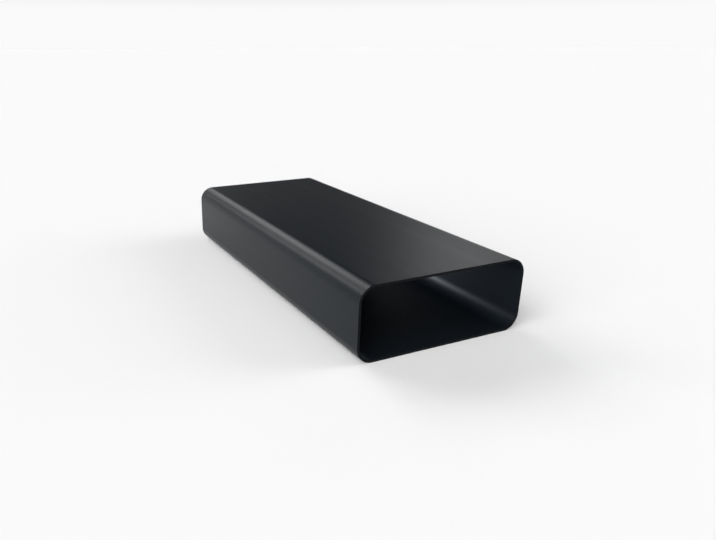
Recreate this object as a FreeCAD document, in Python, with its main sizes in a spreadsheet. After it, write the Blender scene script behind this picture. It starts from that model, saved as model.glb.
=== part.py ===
"""Flat channel duct: a straight length of rigid plastic ventilation duct, open at both ends.

The duct is one extruded piece. Its section is a wide, low rectangle with rounded corners and an even wall,
and both cut ends have their sharp edges taken off. It lies on its wide side and runs along Y.
Millimetres, +Z up. The origin is the middle of the underside.
"""

import FreeCAD
import Part
import Sketcher

import enum
import math
import os

# Driving dimensions: name, value in millimetres, meaning.
SIZES = (
    ("duct_width", "222", "outside width of the section, along X"),
    ("duct_height", "89", "outside height of the section, along Z"),
    ("duct_length", "500", "cut length, along Y"),
    ("corner_radius", "20", "outside radius of the four long corners"),
    ("wall_thickness", "3", "wall, the same all round"),
    ("end_edge_radius", "0.5", "rounding of the edges at both cut ends"),
)

SIDES = ("bottom", "right", "top", "left")
QUARTER_TURN = math.pi / 2
# A face that reaches less than this along the duct's run, in millimetres, lies square to it.
FLATNESS = 1e-6


class Place(enum.IntEnum):
    """How a sketch constraint names a place on a line or an arc."""

    START = 1
    END = 2
    CENTRE = 3


class Axis(enum.IntEnum):
    """How a sketch constraint names the sketch's own axes."""

    HORIZONTAL = -1
    VERTICAL = -2


def make_sheet(doc):
    """The spreadsheet that holds the driving dimensions, one alias a row."""
    sheet = doc.addObject("Spreadsheet::Sheet", "Sizes")
    for row, (name, value, meaning) in enumerate(SIZES, start=1):
        sheet.set(f"A{row}", meaning)
        sheet.set(f"B{row}", value)
        sheet.setAlias(f"B{row}", name)
    doc.recompute()
    return sheet


def constrain(sketch, *constraint):
    """Adds one constraint to the sketch and returns its number."""
    return sketch.addConstraint(Sketcher.Constraint(*constraint))


def dimension(sketch, name, expression, *constraint):
    """Adds a named dimension to the sketch and binds it to the spreadsheet."""
    sketch.renameConstraint(constrain(sketch, *constraint), name)
    sketch.setExpression(f"Constraints.{name}", expression)


def draw_loop(sketch, half_width, low, high, radius):
    """Draws a rectangle with rounded corners, anticlockwise, each side running on into the next corner.

    Returns the sides by name, and the corners in the order that they follow the sides.
    """
    x, r = half_width, radius
    runs = {
        "bottom": ((-x + r, low), (x - r, low)),
        "right": ((x, low + r), (x, high - r)),
        "top": ((x - r, high), (-x + r, high)),
        "left": ((-x, high - r), (-x, low + r)),
    }
    centres = ((x - r, low + r), (x - r, high - r), (-x + r, high - r), (-x + r, low + r))

    def point(place):
        return FreeCAD.Vector(place[0], place[1], 0)

    sides = {name: sketch.addGeometry(Part.LineSegment(*map(point, runs[name]))) for name in SIDES}
    corners = []
    for turn, centre in enumerate(centres):
        circle = Part.Circle(point(centre), FreeCAD.Vector(0, 0, 1), r)
        first = (turn - 1) * QUARTER_TURN
        corners.append(sketch.addGeometry(Part.ArcOfCircle(circle, first, first + QUARTER_TURN)))

    for turn, name in enumerate(SIDES):
        following = SIDES[(turn + 1) % len(SIDES)]
        constrain(sketch, "Tangent", sides[name], Place.END, corners[turn], Place.START)
        constrain(sketch, "Tangent", corners[turn], Place.END, sides[following], Place.START)
    return sides, corners


def draw_section(body, sheet):
    """The extrusion's section: the outside and the airway, with corners about the same centres."""
    sketch = body.newObject("Sketcher::SketchObject", "Section")
    plane = next(p for p in body.Origin.OriginFeatures if p.Role == "XZ_Plane")
    sketch.AttachmentSupport = [(plane, "")]
    sketch.MapMode = "FlatFace"

    width, height = sheet.duct_width, sheet.duct_height
    radius, wall = sheet.corner_radius, sheet.wall_thickness
    outside, outer_corners = draw_loop(sketch, width / 2, 0, height, radius)
    airway, inner_corners = draw_loop(sketch, width / 2 - wall, wall, height - wall, radius - wall)

    # The outside stands on the horizontal axis, with its middle on the vertical one.
    base = outside["bottom"]
    constrain(sketch, "Symmetric", base, Place.START, base, Place.END, Axis.VERTICAL)
    constrain(sketch, "PointOnObject", base, Place.START, Axis.HORIZONTAL)
    constrain(sketch, "Horizontal", outside["top"])
    constrain(sketch, "Vertical", outside["left"])
    constrain(sketch, "Vertical", outside["right"])
    for corner in outer_corners[1:]:
        constrain(sketch, "Equal", outer_corners[0], corner)
    dimension(sketch, "width", "Sizes.duct_width",
              "DistanceX", outside["left"], Place.END, outside["right"], Place.START, width)
    dimension(sketch, "height", "Sizes.duct_height",
              "DistanceY", outside["bottom"], Place.END, outside["top"], Place.START, height)
    dimension(sketch, "corner", "Sizes.corner_radius", "Radius", outer_corners[0], radius)

    # The airway is square to the outside. Three shared centres and one equal radius place all four corners.
    for name in ("bottom", "top"):
        constrain(sketch, "Horizontal", airway[name])
    for name in ("left", "right"):
        constrain(sketch, "Vertical", airway[name])
    for outer, inner in zip(outer_corners[:-1], inner_corners[:-1]):
        constrain(sketch, "Coincident", outer, Place.CENTRE, inner, Place.CENTRE)
    constrain(sketch, "Equal", inner_corners[0], inner_corners[-1])
    dimension(sketch, "wall", "Sizes.wall_thickness",
              "DistanceY", outside["bottom"], Place.END, airway["bottom"], Place.END, wall)
    return sketch


def end_faces(shape):
    """Names of the two cut ends: the flat faces square to the duct's run."""
    names = []
    for number, face in enumerate(shape.Faces, start=1):
        if face.BoundBox.YLength < FLATNESS:
            names.append(f"Face{number}")
    return names


def make_duct(doc, sheet):
    """Extrudes the section both ways from the middle, then takes the sharp edges off both ends."""
    body = doc.addObject("PartDesign::Body", "Duct")
    body.Label = "flat_channel_duct"

    extrusion = body.newObject("PartDesign::Pad", "Extrusion")
    extrusion.Profile = draw_section(body, sheet)
    extrusion.SideType = "Symmetric"
    extrusion.setExpression("Length", "Sizes.duct_length")
    doc.recompute()

    ends = body.newObject("PartDesign::Fillet", "SoftEnds")
    ends.Base = (extrusion, end_faces(extrusion.Shape))
    ends.setExpression("Radius", "Sizes.end_edge_radius")
    doc.recompute()
    return body


def check(doc, pieces):
    """Stops if a feature failed to compute or a piece isn't one sound solid."""
    for feature in doc.Objects:
        if {"Invalid", "Error"} & set(feature.State):
            raise RuntimeError(f"{feature.Name} did not compute: {feature.State}")
    for piece in pieces:
        shape = piece.Shape
        if shape.isNull() or not shape.isValid() or len(shape.Solids) != 1:
            raise RuntimeError(f"{piece.Label} is not one sound solid")


def main():
    doc = FreeCAD.newDocument("FlatChannelDuct")
    sheet = make_sheet(doc)
    pieces = [make_duct(doc, sheet)]
    check(doc, pieces)
    os.makedirs("parts", exist_ok=True)
    for piece in pieces:
        piece.Shape.exportStep(f"parts/{piece.Label}.step")
        box = piece.Shape.optimalBoundingBox()
        print(f"{piece.Label}: {box.XLength:.2f} x {box.YLength:.2f} x {box.ZLength:.2f} mm,"
              f" {piece.Shape.Volume:.0f} mm3")


main()
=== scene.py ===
"""The looks of the flat channel duct: a length of black extruded plastic duct on a white studio floor.

The file is laid out as an add-on and run as a script. Metres, +Z up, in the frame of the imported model.
"""

import math

import bpy
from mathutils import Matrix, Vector


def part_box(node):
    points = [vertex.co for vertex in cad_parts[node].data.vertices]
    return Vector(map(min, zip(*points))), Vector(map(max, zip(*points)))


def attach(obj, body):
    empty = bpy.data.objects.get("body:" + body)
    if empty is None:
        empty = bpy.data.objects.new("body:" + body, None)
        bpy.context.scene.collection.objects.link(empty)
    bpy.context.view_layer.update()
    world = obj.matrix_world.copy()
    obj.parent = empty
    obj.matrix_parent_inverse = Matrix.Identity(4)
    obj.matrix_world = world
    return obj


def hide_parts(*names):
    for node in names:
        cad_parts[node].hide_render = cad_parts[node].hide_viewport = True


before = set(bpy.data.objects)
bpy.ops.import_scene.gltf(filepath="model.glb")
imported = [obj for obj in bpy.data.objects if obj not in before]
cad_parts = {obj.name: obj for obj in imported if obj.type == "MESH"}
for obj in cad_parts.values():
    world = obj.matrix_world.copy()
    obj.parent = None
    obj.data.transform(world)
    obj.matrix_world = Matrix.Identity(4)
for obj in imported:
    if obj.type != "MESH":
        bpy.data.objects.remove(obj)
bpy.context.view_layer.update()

bl_info = {
    "name": "Flat Channel Duct",
    "version": (1, 0, 0),
    "blender": (4, 5, 0),
    "location": "3D View > Sidebar > Duct",
    "description": "Builds an extruded flat ventilation duct and a white studio to show it in",
    "category": "Object",
}

NODE = "flat_channel_duct"
BODY = "root"
DUCT_LOW, DUCT_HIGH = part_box(NODE)
DUCT_SIZE = DUCT_HIGH - DUCT_LOW

# Facets of each long corner, and of each rounded edge at a cut end.
CORNER_SEGMENTS = 24
EDGE_SEGMENTS = 4

# The attribute that marks the sawn ends, and where it starts and is whole. It goes by how square to the run
# the surface is, from 0 on a wall to 1 on an end.
# The same attribute places the painted shade that darkens the ends and most of their edges.
CUT_END = "cut_end"
SAWN_FROM = 0.1
SAWN_WHOLE = 0.6

# Gloss of the plastic. The level is matched, and 0.5 would be a polished skin of the same index.
PVC_INDEX = 1.53
SATIN_LEVEL = 0.13
SATIN_ROUGHNESS = 0.36
BAND_SWING = 0.02
GRAIN_SWING = 0.02
SAWN_ROUGHNESS = 0.9

# Patterns of the plastic: their spacing as drawn, and the heights of their relief.
LINE_SPACING = 0.0025
LINE_HEIGHT = 0.000012
BAND_WIDTH = 0.030
GRAIN_SIZE = 0.0012
GRAIN_HEIGHT = 0.000004
SAW_SPACING = 0.0007
SAW_HEIGHT = 0.00003
RUN_STRETCH = 100
# Nearly all of a noise lies between these values.
NOISE_LOW = 0.3
NOISE_HIGH = 0.7

# Sockets of a Mix node, by number, because those for colours and those for plain values share their names.
MIX_FACTOR = 0
COLOUR_A = 6
COLOUR_B = 7
COLOUR_RESULT = 2
VALUE_A = 2
VALUE_B = 3
VALUE_RESULT = 0

# The photograph's frame, in pixels, and the camera that its outline gives.
PHOTO_WIDTH = 716
FOCAL_PIXELS = 630.0
LENS_AXIS_X = 279.0
SENSOR_WIDTH = 36.0
CAMERA_PLACE = (-0.4337, -0.7469, 0.3212)
CAMERA_AZIMUTH = math.radians(-25.124)
CAMERA_ELEVATION = math.radians(19.987)

# How far the floor runs each way from the middle.
FLOOR_REACH = 30.0

# The room: a white wall, then a grey cove, then a dark ceiling. Each height is two elevations in degrees, one
# for most of the room and a lower one for the side that the duct's level top mirrors.
WALL_TOP = (13, 2.2)
COVE_TOP = (19, 8)
CEILING_EDGE = (30, 9.5)
# The wall is as bright as the lit floor, so that no line shows where they meet.
WALL_LEVEL = 0.955
COVE_LEVEL = 0.14
# What the ceiling keeps of the cove's level.
CEILING_SHARE = 0.03
# The low side's middle, in degrees, and the cosines of the angles from it where it starts and is lowest.
LOW_SIDE_AZIMUTH = 20
LOW_SIDE_FROM = 0.5
LOW_SIDE_WHOLE = 0.8

# Soft round lamps, far off: name, azimuth clockwise from +Y, elevation and spread in degrees, radiance.
LAMPS = (
    ("rear_left_lamp", -30, 27, 20, 7.1),
    ("rear_lamp", 10, 26, 10, 3.3),
    ("rear_high_lamp", -3, 37, 22, 6.7),
    ("right_rear_lamp", 44, 23, 13, 3.2),
    ("right_lamp", 105, 23, 36, 3.7),
    ("front_left_lamp", 240, 32, 60, 3.9),
    ("right_high_lamp", 120, 55, 40, 0.65),
)

# A small lamp close behind the far end, with a grid that narrows its beam. It shines through the airway.
AIRWAY_LAMP_PLACE = Vector((-0.050, DUCT_HIGH.y + 0.040, 0.050))
AIRWAY_LAMP_AIM = Vector((0.100, -0.090, 0.020))
AIRWAY_LAMP_WIDTH = 0.036
AIRWAY_LAMP_HEIGHT = 0.040
AIRWAY_LAMP_SPREAD = math.radians(30)
AIRWAY_LAMP_WATTS = 0.08
AIRWAY_LAMP_COLOUR = "#EEF5FF"


def linear(hex_colour):
    """A colour written as sRGB hex, such as "#1C1E21", as linear red, green, blue and alpha."""
    def decode(pair):
        value = int(pair, 16) / 255
        return value / 12.92 if value <= 0.04045 else ((value + 0.055) / 1.055) ** 2.4

    digits = hex_colour.lstrip("#")
    return tuple(decode(digits[start:start + 2]) for start in (0, 2, 4)) + (1.0,)


def toward(azimuth, elevation):
    """The direction at an azimuth, clockwise from +Y, and an elevation, both in degrees."""
    turn = math.radians(azimuth)
    rise = math.radians(elevation)
    return Vector((math.sin(turn) * math.cos(rise), math.cos(turn) * math.cos(rise), math.sin(rise)))


def add_node(tree, kind, settings=None, inputs=None):
    """Adds one node to a tree. Each input takes a value, or a socket that it is linked to."""
    node = tree.nodes.new(kind)
    for name, value in (settings or {}).items():
        setattr(node, name, value)
    for key, value in (inputs or {}).items():
        socket = node.inputs[key]
        if isinstance(value, bpy.types.NodeSocket):
            tree.links.new(value, socket)
        else:
            socket.default_value = value
    return node


class DuctSizes(bpy.types.PropertyGroup):
    """Sizes of the extrusion."""

    width: bpy.props.FloatProperty(
        name="Width", description="Outside width of the section",
        default=DUCT_SIZE.x, min=0.05, unit="LENGTH")
    height: bpy.props.FloatProperty(
        name="Height", description="Outside height of the section",
        default=DUCT_SIZE.z, min=0.03, unit="LENGTH")
    length: bpy.props.FloatProperty(
        name="Length", description="Cut length of the duct",
        default=DUCT_SIZE.y, min=0.05, unit="LENGTH")
    corner_radius: bpy.props.FloatProperty(
        name="Corner radius", description="Outside radius of the four long corners",
        default=0.020, min=0.004, unit="LENGTH")
    wall: bpy.props.FloatProperty(
        name="Wall", description="Thickness of the wall, the same all round",
        default=0.003, min=0.001, unit="LENGTH")
    edge_radius: bpy.props.FloatProperty(
        name="End edge radius", description="Rounding of the edges at both cut ends",
        default=0.0005, min=0.0001, unit="LENGTH")


class DuctFinish(bpy.types.PropertyGroup):
    """Colours of the plastic and of the studio."""

    plastic: bpy.props.StringProperty(
        name="Plastic", description="Colour of the extruded skin, as sRGB hex",
        default="#0F1419")
    plastic_streak: bpy.props.StringProperty(
        name="Die streaks", description="Colour of the palest lines that the die leaves, as sRGB hex",
        default="#12171C")
    # The cut ends and most of their rounded edges take this colour, darker than the plastic's own: painted
    # shade.
    cut: bpy.props.StringProperty(
        name="Cut ends", description="Colour of the sawn ends, as sRGB hex",
        default="#07090C")
    floor: bpy.props.StringProperty(
        name="Floor", description="Colour of the studio floor, as sRGB hex",
        default="#F4F4F4")


def duct_tree(material):
    """Geometry Nodes for the duct: a long wall profile, swept round a rounded rectangle."""
    tree = bpy.data.node_groups.new("Flat duct wall", "GeometryNodeTree")
    for name in ("Width", "Height", "Length", "Corner Radius", "Wall", "Edge Radius"):
        socket = tree.interface.new_socket(name, in_out="INPUT", socket_type="NodeSocketFloat")
        socket.subtype = "DISTANCE"
    for name in ("Corner Segments", "Edge Segments"):
        tree.interface.new_socket(name, in_out="INPUT", socket_type="NodeSocketInt")
    tree.interface.new_socket("Geometry", in_out="OUTPUT", socket_type="NodeSocketGeometry")
    given = add_node(tree, "NodeGroupInput").outputs

    # The path runs round the section, half way through the wall.
    half_wall = add_node(tree, "ShaderNodeMath", {"operation": "MULTIPLY"}, {0: given["Wall"], 1: 0.5})
    path_width = add_node(tree, "ShaderNodeMath", {"operation": "SUBTRACT"}, {
        0: given["Width"],
        1: given["Wall"],
    })
    path_height = add_node(tree, "ShaderNodeMath", {"operation": "SUBTRACT"}, {
        0: given["Height"],
        1: given["Wall"],
    })
    path_radius = add_node(tree, "ShaderNodeMath", {"operation": "SUBTRACT"}, {
        0: given["Corner Radius"],
        1: half_wall.outputs["Value"],
    })
    rectangle = add_node(tree, "GeometryNodeCurvePrimitiveQuadrilateral", {"mode": "RECTANGLE"}, {
        "Width": path_width.outputs["Value"],
        "Height": path_height.outputs["Value"],
    })
    path = add_node(tree, "GeometryNodeFilletCurve", {"mode": "POLY"}, {
        "Curve": rectangle.outputs["Curve"],
        "Count": given["Corner Segments"],
        "Radius": path_radius.outputs["Value"],
    })

    # The profile is the wall cut along the duct: as long as the duct, with rounded ends.
    strip = add_node(tree, "GeometryNodeCurvePrimitiveQuadrilateral", {"mode": "RECTANGLE"}, {
        "Width": given["Wall"],
        "Height": given["Length"],
    })
    profile = add_node(tree, "GeometryNodeFilletCurve", {"mode": "POLY"}, {
        "Curve": strip.outputs["Curve"],
        "Count": given["Edge Segments"],
        "Radius": given["Edge Radius"],
    })
    wall = add_node(tree, "GeometryNodeCurveToMesh", None, {
        "Curve": path.outputs["Curve"],
        "Profile Curve": profile.outputs["Curve"],
    })

    # The section is drawn flat, so it is stood up to run along Y and lifted onto its underside.
    half_height = add_node(tree, "ShaderNodeMath", {"operation": "MULTIPLY"}, {0: given["Height"], 1: 0.5})
    lift = add_node(tree, "ShaderNodeCombineXYZ", None, {"Z": half_height.outputs["Value"]})
    placed = add_node(tree, "GeometryNodeTransform", None, {
        "Geometry": wall.outputs["Mesh"],
        "Translation": lift.outputs["Vector"],
        "Rotation": (math.pi / 2, 0, 0),
    })

    # The material finds the sawn ends by this attribute: 1 on them and most of their edges, 0 on the walls.
    # It also places the painted shade, a darker colour, on the ends and those edges.
    facing = add_node(tree, "GeometryNodeInputNormal")
    parts = add_node(tree, "ShaderNodeSeparateXYZ", None, {"Vector": facing.outputs["Normal"]})
    squareness = add_node(tree, "ShaderNodeMath", {"operation": "ABSOLUTE"}, {0: parts.outputs["Y"]})
    sawn = add_node(tree, "ShaderNodeMapRange", None, {
        "Value": squareness.outputs["Value"],
        "From Min": SAWN_FROM,
        "From Max": SAWN_WHOLE,
    })
    marked = add_node(tree, "GeometryNodeStoreNamedAttribute", {"data_type": "FLOAT", "domain": "POINT"}, {
        "Geometry": placed.outputs["Geometry"],
        "Name": CUT_END,
        "Value": sawn.outputs["Result"],
    })
    smooth = add_node(tree, "GeometryNodeSetShadeSmooth", None, {"Geometry": marked.outputs["Geometry"]})
    real = add_node(tree, "GeometryNodeRealizeInstances", None, {"Geometry": smooth.outputs["Geometry"]})
    dressed = add_node(tree, "GeometryNodeSetMaterial", None, {
        "Geometry": real.outputs["Geometry"],
        "Material": material,
    })
    add_node(tree, "NodeGroupOutput", None, {"Geometry": dressed.outputs["Geometry"]})
    return tree


def grown_mesh(name, tree, values):
    """The plain mesh that a node tree gives for these input values, with normals that keep flats flat."""
    maker = bpy.data.objects.new(name, bpy.data.meshes.new(name))
    bpy.context.scene.collection.objects.link(maker)
    nodes = maker.modifiers.new("Nodes", "NODES")
    nodes.node_group = tree
    for item in tree.interface.items_tree:
        if item.in_out == "INPUT":
            nodes[item.identifier] = values[item.name]
    normals = maker.modifiers.new("Normals", "WEIGHTED_NORMAL")
    # At the top weight, the largest face at a point counts for most.
    normals.weight = 100
    graph = bpy.context.evaluated_depsgraph_get()
    mesh = bpy.data.meshes.new_from_object(maker.evaluated_get(graph), depsgraph=graph)
    bpy.data.objects.remove(maker)
    mesh.name = name
    return mesh


def extruded_pvc(finish):
    """Rigid PVC, extruded through a cooled die and sawn to length.

    The die gives a satin skin, so highlights are wide and soft, with faint lines and bands along the run. The
    saw leaves the cut ends duller, with fine marks across the wall. The ends and most of their rounded edges
    are also painted darker than the skin: painted shade.
    """
    material = bpy.data.materials.new("Extruded PVC, satin black")
    material.use_nodes = True
    tree = material.node_tree
    shader = tree.nodes["Principled BSDF"]
    shader.inputs["IOR"].default_value = PVC_INDEX
    shader.inputs["Specular IOR Level"].default_value = SATIN_LEVEL
    place = add_node(tree, "ShaderNodeTexCoord").outputs["Object"]
    cut = add_node(tree, "ShaderNodeAttribute", {"attribute_name": CUT_END}).outputs["Fac"]

    # What the die leaves keeps to the run, so these patterns are drawn out a hundredfold along Y.
    run = add_node(tree, "ShaderNodeMapping", None, {
        "Vector": place,
        "Scale": (1.0, 1 / RUN_STRETCH, 1.0),
    })
    # Die lines are about 0.4 mm apart. They are drawn 2.5 mm apart, as fine as the render can show.
    lines = add_node(tree, "ShaderNodeTexNoise", None, {
        "Vector": run.outputs["Vector"],
        "Scale": 1 / LINE_SPACING,
        "Detail": 2.0,
        "Roughness": 0.6,
    })
    # Bands where the melt cooled a little faster or slower, 30 mm wide.
    bands = add_node(tree, "ShaderNodeTexNoise", None, {
        "Vector": run.outputs["Vector"],
        "Scale": 1 / BAND_WIDTH,
        "Detail": 1.0,
    })
    # The satin's own grain is about 0.1 mm. It is drawn at 1.2 mm, as fine as the render can show.
    grain = add_node(tree, "ShaderNodeTexNoise", None, {
        "Vector": place,
        "Scale": 1 / GRAIN_SIZE,
        "Detail": 2.0,
        "Roughness": 0.6,
    })
    # Saw marks are 0.7 mm apart. A diagonal wave of scale 1, seen on a cut end, repeats every 0.1 pi times
    # the square root of 2.
    saw = add_node(tree, "ShaderNodeTexWave", {"bands_direction": "DIAGONAL"}, {
        "Vector": place,
        "Scale": 0.1 * math.pi * math.sqrt(2) / SAW_SPACING,
        "Distortion": 3.0,
        "Detail": 2.0,
    })

    skin = add_node(tree, "ShaderNodeMix", {"data_type": "RGBA"}, {
        MIX_FACTOR: lines.outputs["Fac"],
        COLOUR_A: linear(finish.plastic),
        COLOUR_B: linear(finish.plastic_streak),
    })
    # On the sawn ends and most of their edges the colour turns darker: painted shade.
    colour = add_node(tree, "ShaderNodeMix", {"data_type": "RGBA"}, {
        MIX_FACTOR: cut,
        COLOUR_A: skin.outputs[COLOUR_RESULT],
        COLOUR_B: linear(finish.cut),
    })
    tree.links.new(colour.outputs[COLOUR_RESULT], shader.inputs["Base Color"])

    satin = add_node(tree, "ShaderNodeMapRange", None, {
        "Value": bands.outputs["Fac"],
        "From Min": NOISE_LOW,
        "From Max": NOISE_HIGH,
        "To Min": SATIN_ROUGHNESS - BAND_SWING,
        "To Max": SATIN_ROUGHNESS + BAND_SWING,
    })
    mottled = add_node(tree, "ShaderNodeMapRange", None, {
        "Value": grain.outputs["Fac"],
        "From Min": NOISE_LOW,
        "From Max": NOISE_HIGH,
        "To Min": -GRAIN_SWING,
        "To Max": GRAIN_SWING,
    })
    skin_roughness = add_node(tree, "ShaderNodeMath", {"operation": "ADD"}, {
        0: satin.outputs["Result"],
        1: mottled.outputs["Result"],
    })
    roughness = add_node(tree, "ShaderNodeMix", {"data_type": "FLOAT"}, {
        MIX_FACTOR: cut,
        VALUE_A: skin_roughness.outputs["Value"],
        VALUE_B: SAWN_ROUGHNESS,
    })
    tree.links.new(roughness.outputs[VALUE_RESULT], shader.inputs["Roughness"])

    lined = add_node(tree, "ShaderNodeBump", None, {
        "Height": lines.outputs["Fac"],
        "Distance": LINE_HEIGHT,
    })
    grained = add_node(tree, "ShaderNodeBump", None, {
        "Height": grain.outputs["Fac"],
        "Distance": GRAIN_HEIGHT,
        "Normal": lined.outputs["Normal"],
    })
    sawn = add_node(tree, "ShaderNodeBump", None, {
        "Strength": cut,
        "Height": saw.outputs["Fac"],
        "Distance": SAW_HEIGHT,
        "Normal": grained.outputs["Normal"],
    })
    tree.links.new(sawn.outputs["Normal"], shader.inputs["Normal"])
    return material


def studio_paper(finish):
    """Matt white paper, uncoated, so it has no shine of its own."""
    material = bpy.data.materials.new("White studio paper, matt")
    material.use_nodes = True
    shader = material.node_tree.nodes["Principled BSDF"]
    shader.inputs["Base Color"].default_value = linear(finish.floor)
    shader.inputs["Roughness"].default_value = 1.0
    shader.inputs["Specular IOR Level"].default_value = 0.0
    return material


class DUCT_OT_extrusion(bpy.types.Operator):
    """Builds the duct itself, in place of its plain solid"""

    bl_idname = "duct.extrusion"
    bl_label = "Extruded duct"

    def execute(self, context):
        sizes = context.scene.duct_sizes
        tree = duct_tree(extruded_pvc(context.scene.duct_finish))
        mesh = grown_mesh("duct_extrusion", tree, {
            "Width": sizes.width,
            "Height": sizes.height,
            "Length": sizes.length,
            "Corner Radius": sizes.corner_radius,
            "Wall": sizes.wall,
            "Edge Radius": sizes.edge_radius,
            "Corner Segments": CORNER_SEGMENTS,
            "Edge Segments": EDGE_SEGMENTS,
        })
        duct = bpy.data.objects.new("duct_extrusion", mesh)
        context.scene.collection.objects.link(duct)
        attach(duct, BODY)
        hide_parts(NODE)
        return {"FINISHED"}


class DUCT_OT_stage(bpy.types.Operator):
    """Sets up the floor, the light and the camera"""

    bl_idname = "duct.stage"
    bl_label = "White studio"

    def execute(self, context):
        scene = context.scene
        scene.view_settings.view_transform = "Standard"
        self.floor(scene)
        self.world(scene)
        self.lamps(scene)
        self.camera(scene)
        return {"FINISHED"}

    def floor(self, scene):
        """A level floor that runs out to the horizon."""
        mesh = bpy.data.meshes.new("studio_floor")
        corners = [
            (-FLOOR_REACH, -FLOOR_REACH, 0),
            (FLOOR_REACH, -FLOOR_REACH, 0),
            (FLOOR_REACH, FLOOR_REACH, 0),
            (-FLOOR_REACH, FLOOR_REACH, 0),
        ]
        mesh.from_pydata(corners, [], [(0, 1, 2, 3)])
        mesh.materials.append(studio_paper(scene.duct_finish))
        floor = bpy.data.objects.new("studio_floor", mesh)
        scene.collection.objects.link(floor)

    def world(self, scene):
        """A white wall all round, under a dark ceiling that is lowest where the duct's top mirrors it."""
        world = bpy.data.worlds.new("Studio")
        world.use_nodes = True
        tree = world.node_tree
        ray = add_node(tree, "ShaderNodeTexCoord").outputs["Generated"]
        up = add_node(tree, "ShaderNodeSeparateXYZ", None, {"Vector": ray}).outputs["Z"]
        nearness = add_node(tree, "ShaderNodeVectorMath", {"operation": "DOT_PRODUCT"}, {
            0: ray,
            1: toward(LOW_SIDE_AZIMUTH, 0),
        })

        # A height is the sine of its elevation, because that is how far up a ray of length 1 points.
        heights = []
        for most, lowest in (WALL_TOP, COVE_TOP, CEILING_EDGE):
            height = add_node(tree, "ShaderNodeMapRange", {"interpolation_type": "SMOOTHSTEP"}, {
                "Value": nearness.outputs["Value"],
                "From Min": LOW_SIDE_FROM,
                "From Max": LOW_SIDE_WHOLE,
                "To Min": math.sin(math.radians(most)),
                "To Max": math.sin(math.radians(lowest)),
            })
            heights.append(height.outputs["Result"])
        wall_top, cove_top, ceiling_edge = heights

        wall = add_node(tree, "ShaderNodeMapRange", {"interpolation_type": "SMOOTHSTEP"}, {
            "Value": up,
            "From Min": wall_top,
            "From Max": cove_top,
            "To Min": WALL_LEVEL,
            "To Max": COVE_LEVEL,
        })
        ceiling = add_node(tree, "ShaderNodeMapRange", {"interpolation_type": "SMOOTHSTEP"}, {
            "Value": up,
            "From Min": cove_top,
            "From Max": ceiling_edge,
            "To Min": 1.0,
            "To Max": CEILING_SHARE,
        })
        glow = add_node(tree, "ShaderNodeMath", {"operation": "MULTIPLY"}, {
            0: wall.outputs["Result"],
            1: ceiling.outputs["Result"],
        })
        background = tree.nodes["Background"]
        background.inputs["Color"].default_value = linear("#FFFFFF")
        tree.links.new(glow.outputs["Value"], background.inputs["Strength"])
        scene.world = world

    def lamps(self, scene):
        """The far lamps, and the small one that shines through the airway."""
        for name, azimuth, elevation, spread, radiance in LAMPS:
            lamp = bpy.data.lights.new(name, "SUN")
            lamp.angle = math.radians(spread)
            lamp.energy = radiance * math.pi * math.sin(lamp.angle / 2) ** 2
            holder = bpy.data.objects.new(name, lamp)
            holder.rotation_euler = toward(azimuth, elevation).to_track_quat("Z", "Y").to_euler()
            scene.collection.objects.link(holder)

        lamp = bpy.data.lights.new("airway_lamp", "AREA")
        lamp.shape = "RECTANGLE"
        lamp.size = AIRWAY_LAMP_WIDTH
        lamp.size_y = AIRWAY_LAMP_HEIGHT
        lamp.spread = AIRWAY_LAMP_SPREAD
        lamp.energy = AIRWAY_LAMP_WATTS
        lamp.color = linear(AIRWAY_LAMP_COLOUR)[:3]
        holder = bpy.data.objects.new("airway_lamp", lamp)
        holder.location = AIRWAY_LAMP_PLACE
        holder.rotation_euler = (AIRWAY_LAMP_PLACE - AIRWAY_LAMP_AIM).to_track_quat("Z", "Y").to_euler()
        scene.collection.objects.link(holder)

    def camera(self, scene):
        """The photograph's camera."""
        lens = bpy.data.cameras.new("photo_camera")
        lens.sensor_width = SENSOR_WIDTH
        lens.lens = SENSOR_WIDTH * FOCAL_PIXELS / PHOTO_WIDTH
        lens.shift_x = 0.5 - LENS_AXIS_X / PHOTO_WIDTH
        camera = bpy.data.objects.new("photo_camera", lens)
        camera.location = CAMERA_PLACE
        camera.rotation_euler = (math.pi / 2 - CAMERA_ELEVATION, 0, CAMERA_AZIMUTH)
        scene.collection.objects.link(camera)
        scene.camera = camera


class DUCT_PT_panel(bpy.types.Panel):
    """Lists the sizes, the colours and the steps"""

    bl_idname = "DUCT_PT_panel"
    bl_label = "Flat channel duct"
    bl_space_type = "VIEW_3D"
    bl_region_type = "UI"
    bl_category = "Duct"

    def draw(self, context):
        for group in (context.scene.duct_sizes, context.scene.duct_finish):
            for name in group.bl_rna.properties.keys():
                if name not in ("rna_type", "name"):
                    self.layout.prop(group, name)
        self.layout.operator(DUCT_OT_extrusion.bl_idname)
        self.layout.operator(DUCT_OT_stage.bl_idname)


CLASSES = (DuctSizes, DuctFinish, DUCT_OT_extrusion, DUCT_OT_stage, DUCT_PT_panel)


def register():
    for item in CLASSES:
        bpy.utils.register_class(item)
    bpy.types.Scene.duct_sizes = bpy.props.PointerProperty(type=DuctSizes)
    bpy.types.Scene.duct_finish = bpy.props.PointerProperty(type=DuctFinish)


def unregister():
    del bpy.types.Scene.duct_finish
    del bpy.types.Scene.duct_sizes
    for item in reversed(CLASSES):
        bpy.utils.unregister_class(item)


def main():
    register()
    bpy.ops.duct.extrusion()
    bpy.ops.duct.stage()


if __name__ == "__main__":
    main()
